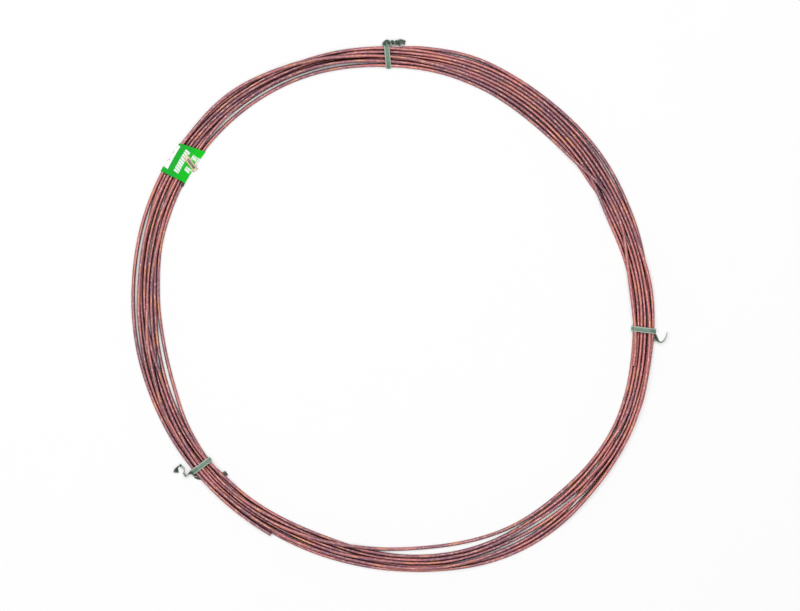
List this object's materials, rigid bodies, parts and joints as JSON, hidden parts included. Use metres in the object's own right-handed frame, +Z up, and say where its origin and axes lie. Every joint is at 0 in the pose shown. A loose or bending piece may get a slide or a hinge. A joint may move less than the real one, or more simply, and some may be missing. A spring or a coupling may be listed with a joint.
{
  "type": "copper wire coil",
  "caption": "Flat round hank of bare solid copper wire, held by twisted ribbon ties and wrapped with a printed paper label.",
  "frame": {"origin": "the coil's axis, on the floor that it lies on", "axes": "+Z up along the coil's axis; +Y towards the rear twist tie; +X to the right"},
  "size_m": [0.4026, 0.3987, 0.006],
  "materials": {
    "copper_wire": "satin",
    "tie_ribbon": "satin",
    "label_paper": "satin",
    "sticker_paper": "matte"
  },
  "bodies": {
    "root": {"wire_coil": "copper_wire", "twist_tie_rear": "tie_ribbon", "twist_tie_right": "tie_ribbon", "twist_tie_front": "tie_ribbon", "label_band": "label_paper", "price_sticker": "sticker_paper"}
  },
  "joints": []
}
